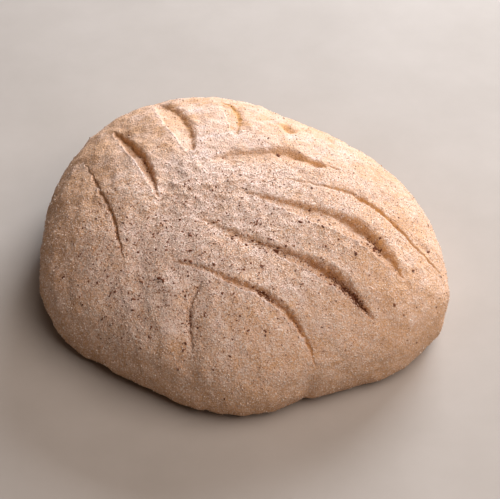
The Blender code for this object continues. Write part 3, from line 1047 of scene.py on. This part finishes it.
def flake(sides=6, thick=0.22):
    """A thin flake, one unit across, with its faces."""
    turns = np.arange(sides) * math.tau / sides
    ring = np.stack([np.cos(turns) / 2, np.sin(turns) / 2], 1)
    points = np.concatenate([np.c_[ring, np.full(sides, z)] for z in (-thick / 2, thick / 2)])
    faces = []
    for k in range(1, sides - 1):
        faces += [(0, k + 1, k), (sides, sides + k, sides + k + 1)]
    for k in range(sides):
        after = (k + 1) % sides
        faces += [(k, after, sides + after), (k, sides + after, sides + k)]
    return points, np.array(faces)


NUGGET, FLAKE = nugget(), flake()
print("a nugget has", len(NUGGET[1]), "faces and a flake", len(FLAKE[1]))

# %% Materials for what lies on the dough
LOOSE_GAP_SHADE, LOOSE_PATCHES, LOOSE_PATCH_SIZE = 0.5, 0.2, 9.0
LOOSE_BUMP, LOOSE_HIGH, LOOSE_SHINE = 0.4, 0.08 * MM, 0.12


def build_loose(name, pale, deep, roughness, grain_size):
    """A material that runs from pale to deep by each grain's own tone, with grain of its own."""
    material, tree, shader = new_material(name)
    grain = use(tree, sandy_grain, Grain_size=grain_size, Crowding=0.5)
    patches = use(tree, mottling, Patch_size=LOOSE_PATCH_SIZE).outputs["Patches"]
    colour = blend(tree, painted(tree, "tone"), pale, deep)
    # The gaps between the grains take the deep colour, as painted shade.
    colour = blend(tree, times(tree, grain.outputs["Gap"], LOOSE_GAP_SHADE), colour, deep)
    colour = blend(tree, times(tree, patches, LOOSE_PATCHES), colour, pale)
    finish(tree, shader, colour, grain.outputs["Height"], LOOSE_BUMP, LOOSE_HIGH, LOOSE_SHINE)
    shader.inputs["Roughness"].default_value = roughness
    return material


coarse_flour = build_loose("coarse_flour", (0.98, 0.90, 0.81, 1), (0.84, 0.66, 0.53, 1), 0.85, 0.2)
brown_meal = build_loose("brown_meal", (0.66, 0.43, 0.28, 1), (0.40, 0.22, 0.125, 1), 0.8, 0.2)
dark_bran = build_loose("dark_bran", (0.38, 0.165, 0.09, 1), (0.12, 0.04, 0.02, 1), 0.75, 0.3)
russet_bran = build_loose("russet_bran", (0.56, 0.32, 0.19, 1), (0.26, 0.11, 0.06, 1), 0.75, 0.25)
print("built", coarse_flour.name, brown_meal.name, dark_bran.name, russet_bran.name)

# %% Strew the flour grains and the brown meal
GRAIN_SPREAD, GRAIN_SMALLEST, GRAIN_LARGEST = 0.3, 0.2, 1.0
GRAIN_SIDES = (0.6, 1.1)  # a grain's sides, in shares of its size
GRAIN_LIFT, GRAIN_TILT, GRAIN_WOBBLE = 0.15, 0.6, 0.12


def make_loose(name, kind, points, faces, tones, material):
    """The piece that holds all of one kind, with a tone for each grain or flake."""
    piece = make_piece(name, points, faces, material)
    paint(piece, "tone", np.repeat(tones, len(kind[0])))
    print(name, "has", len(piece.data.polygons), "faces")


def strew_grains(name, count, median, liking, material, seed):
    """One kind of small lump, joined into a piece. The median is in mm."""
    rng = np.random.default_rng(seed)
    places, out = strew(count, liking, rng)
    across = median * np.exp(GRAIN_SPREAD * rng.normal(size=(count, 1)))
    across = np.clip(across, GRAIN_SMALLEST, GRAIN_LARGEST)
    sizes = across * rng.uniform(*GRAIN_SIDES, (count, 3))
    places = places + out * sizes[:, 2:] * GRAIN_LIFT
    frames = lie_on(out, GRAIN_TILT, rng)
    points, faces = copy_shape(NUGGET, places, frames, sizes, GRAIN_WOBBLE, rng)
    make_loose(name, NUGGET, points, faces, rng.uniform(0, 1, count), material)


# Flour clings to the steep sides as well. It is thin in the cuts, and there is none on bare dough.
CLINGS, THIN_IN_CUTS = 0.4, 0.5
clinging = CLINGS * off_foot + (1 - CLINGS) * holds
clinging = clinging * (1 - THIN_IN_CUTS * face_in_cut) * (1 - face_bare) * face_sandy
# Pale grains lie mostly in thick flour, and brown meal nearly as much in thin.
strew_grains("flour_grains", 24500, 0.5, clinging * (0.6 + face_flour), coarse_flour, 41)
strew_grains("meal_grains", 13000, 0.42, clinging * (0.8 + 0.4 * face_flour), brown_meal, 42)

# %% Where the bran gathers
LEAST_ON_TOP, LEAST_IN_CUTS = 0.08, 0.02
ONLY_DEEP = 6  # a high power, so that only the depths of the cuts count
on_top = holds * (LEAST_ON_TOP + drifts(
    (4, -42, 36, 1.0), (30, -48, 24, 0.6), (-20, -45, 30, 0.9), (-45, -30, 16, 0.7),
    (-13, -75, 12, 0.7), (0, -85, 35, 0.35), (-6, -18, 18, 0.8), (-50, -60, 34, 0.75),
))
in_the_cuts = face_in_cut**ONLY_DEEP * off_foot * (LEAST_IN_CUTS + drifts(
    (58, -66, 6, 12.0), (50, -61, 5, 5.0), (-7, -59, 4, 5.0), (18, -70, 3, 14.0), (22, -47, 12, 2.0),
    (-47, -34, 2, 6.0), (34, -83, 4, 3.0), (-36, 10, 8, 0.8), (68, -38, 4, 3.0), (-14, -82, 4, 5.0),
))
clumps = off_foot * drifts(
    (16, -34, 3, 9.0), (-14, -80, 3, 6.0), (-24, -44, 3, 9.0), (-19, -49, 3, 7.0), (46, -46, 2, 8.0),
    (-20, -22, 3, 6.0), (-12, -26, 3, 5.0), (-28, -36, 3, 5.0), (60, -69, 2, 14.0),
)
print(f"bran likes {(in_the_cuts > 0.5).sum()} faces in the cuts best")


# %% Strew the bran
FLAKE_SMALLEST = 0.18
FLAKE_WIDTHS, FLAKE_THICKNESSES = (0.45, 0.95), (0.5, 1.2)  # in shares of a round flake's
FLAKE_LIFT, FLAKE_TILT, FLAKE_WOBBLE = 0.05, 0.35, 0.18


def strew_bran(name, batches, median, spread, biggest, material, seed, tones):
    """One kind of bran, as joined flakes, in batches of a count and where they like to lie.

    The median and the biggest are in mm across. Tones run from 0, pale, to 1, deep.
    """
    rng = np.random.default_rng(seed)
    strewn = [strew(count, liking, rng) for count, liking in batches]
    places, out = (np.concatenate(part) for part in zip(*strewn))
    count = len(places)
    across = np.clip(median * np.exp(spread * rng.normal(size=(count, 1))), FLAKE_SMALLEST, biggest)
    uneven = [rng.uniform(*limits, count) for limits in (FLAKE_WIDTHS, FLAKE_THICKNESSES)]
    sizes = across * np.stack([np.ones(count), *uneven], 1)
    frames = lie_on(out, FLAKE_TILT, rng)
    points, faces = copy_shape(FLAKE, places + out * FLAKE_LIFT, frames, sizes, FLAKE_WOBBLE, rng)
    make_loose(name, FLAKE, points, faces, rng.uniform(*tones, count), material)


speck_batches = ((3200, on_top + clumps), (600, in_the_cuts))
flake_batches = ((520, on_top + 0.5 * clumps), (260, in_the_cuts))
strew_bran("bran_specks", speck_batches, 0.4, 0.32, 0.9, dark_bran, 51, (0.1, 1.0))
strew_bran("bran_flakes", flake_batches, 0.85, 0.35, 2.0, dark_bran, 52, (0.6, 1.0))
strew_bran("russet_flakes", ((2700, on_top + 0.1 * holds),), 0.52, 0.35, 1.2, russet_bran, 53, (0.0, 1.0))

# %% Lay the larger flecks one by one
# The flecks that stand out, as x, y and how long.
NOTED_FLECKS = (
    (-13, -55, 2.2), (24, -48, 2.6), (19, -49, 1.6), (59, -48, 2.3), (38, -57, 2.0), (46, -46, 1.8),
    (43, -30, 1.7), (45, -36, 1.7), (70, -43, 1.8), (35, -65, 1.6), (26, 15, 3.0), (-71, -46, 2.4),
    (-16, -22, 1.8), (-25, -32, 1.8), (16, -34, 1.5), (8, -4, 1.7), (24, -7, 1.9), (41, -10, 2.0),
    (-16, -89, 2.0), (-15, -87, 1.6), (4, -94, 1.5), (-48, -61, 1.5), (-3, -97, 1.4), (94, -30, 2.4),
    (-24, -48, 1.6), (-40, -32, 1.4), (-33, -30, 1.5), (-47, -35, 1.6), (-13, -77, 1.6),
)
FLECK_SHARES = np.array((1.0, 0.5, 0.6))  # length, width and thickness, of a round flake's
FLECK_UNEVEN, FLECK_TONES = (0.85, 1.15), (0.4, 1.0)
FLECK_LIFT, FLECK_TILT, FLECK_WOBBLE = 0.12, 0.15, 0.2


def lay_flecks():
    """Each noted fleck, on the face of the top that is nearest to its place in plan."""
    rng = np.random.default_rng(61)
    noted = np.array(NOTED_FLECKS, float)
    on_side = np.where(face_middles[:, 2] < WIDEST_AT, np.inf, 0)  # the flecks are all on the top
    nearest = [
        int((np.hypot(*(face_middles[:, :2] - spot[:2]).T) + on_side).argmin()) for spot in noted
    ]
    out = face_out[nearest]
    places = face_middles[nearest] + out * FLECK_LIFT
    sizes = noted[:, 2:] * FLECK_SHARES * rng.uniform(*FLECK_UNEVEN, (len(noted), 3))
    frames = lie_on(out, FLECK_TILT, rng)
    points, faces = copy_shape(FLAKE, places, frames, sizes, FLECK_WOBBLE, rng)
    make_loose("bran_large", FLAKE, points, faces, rng.uniform(*FLECK_TONES, len(noted)), dark_bran)


lay_flecks()

# %% [markdown]
# ## Stage, light and camera
#
# The loaf stands in one broad, soft, low light from behind and to the right, so every lump
# and lip is raked by it and the near side falls into warm shade. A second, weaker light keeps
# the shade open. The camera looks down at 42 degrees from 0.7 m away through a long lens.

# %% The floor
FLOOR_COLOURS = ((0.43, 0.40, 0.36, 1), (0.47, 0.44, 0.40, 1))
FLOOR_METRES, FLOOR_PATCH_SIZE, FLOOR_ROUGHNESS = 6.0, 60.0, 0.9


def lay_floor():
    material, tree, shader = new_material("pale_floor")
    patches = use(tree, mottling, Patch_size=FLOOR_PATCH_SIZE).outputs["Patches"]
    tree.links.new(blend(tree, patches, *FLOOR_COLOURS), shader.inputs["Base Color"])
    shader.inputs["Roughness"].default_value = FLOOR_ROUGHNESS
    bpy.ops.mesh.primitive_plane_add(size=FLOOR_METRES)
    floor = bpy.context.object
    floor.name = "floor"
    floor.data.materials.append(material)
    return floor


print("laid", lay_floor().name)

# %% The lights
# Azimuth runs anticlockwise from +X, and both angles are in degrees.
LIGHTS = {
    "key": {
        "azimuth": 62, "elevation": 24, "distance": 1.2, "size": 0.7,
        "watts": 25.0, "colour": (0.93, 0.955, 1.03),
    },
    "fill": {
        "azimuth": 331, "elevation": 59, "distance": 1.3, "size": 1.2,
        "watts": 15.1, "colour": (1.0, 0.865, 0.8),
    },
}
ROOM_COLOUR, ROOM_STRENGTH = (1.0, 0.7, 0.57, 1), 0.058


def hang_light(name, spec):
    """A square soft light, aimed at the loaf."""
    turn, lift = math.radians(spec["azimuth"]), math.radians(spec["elevation"])
    towards = Vector((math.cos(turn) * math.cos(lift), math.sin(turn) * math.cos(lift), math.sin(lift)))
    lamp = bpy.data.lights.new(name, "AREA")
    lamp.energy, lamp.size, lamp.color = spec["watts"], spec["size"], spec["colour"]
    light = bpy.data.objects.new(name, lamp)
    light.location = towards * spec["distance"]
    light.rotation_euler = towards.to_track_quat("Z", "Y").to_euler()
    bpy.context.scene.collection.objects.link(light)


def light_the_room():
    world = bpy.data.worlds.new("room")
    bpy.context.scene.world = world
    world.use_nodes = True
    background = world.node_tree.nodes["Background"]
    background.inputs["Color"].default_value = ROOM_COLOUR
    background.inputs["Strength"].default_value = ROOM_STRENGTH


for name, spec in LIGHTS.items():
    hang_light(name, spec)
light_the_room()
bpy.context.scene.view_settings.view_transform = "Standard"
print("lit by", *LIGHTS)

# %% The camera
ELEVATION = math.radians(42.0)
DISTANCE = 712.5
AIM = np.array((12.6, 14.8, 0.0))
FOCAL_PIXELS, IMAGE_WIDTH, SENSOR = 1434.0, 500.0, 36.0


def set_camera():
    back = np.array((0.0, -math.cos(ELEVATION), math.sin(ELEVATION)))
    lens = bpy.data.cameras.new("camera")
    lens.sensor_width, lens.lens = SENSOR, FOCAL_PIXELS / IMAGE_WIDTH * SENSOR
    camera = bpy.data.objects.new("camera", lens)
    camera.location = (AIM + back * DISTANCE - CENTRE) * MM
    camera.rotation_euler = Vector(back).to_track_quat("Z", "Y").to_euler()
    bpy.context.scene.collection.objects.link(camera)
    bpy.context.scene.camera = camera
    return camera


print("the lens is", round(set_camera().data.lens, 1), "mm")
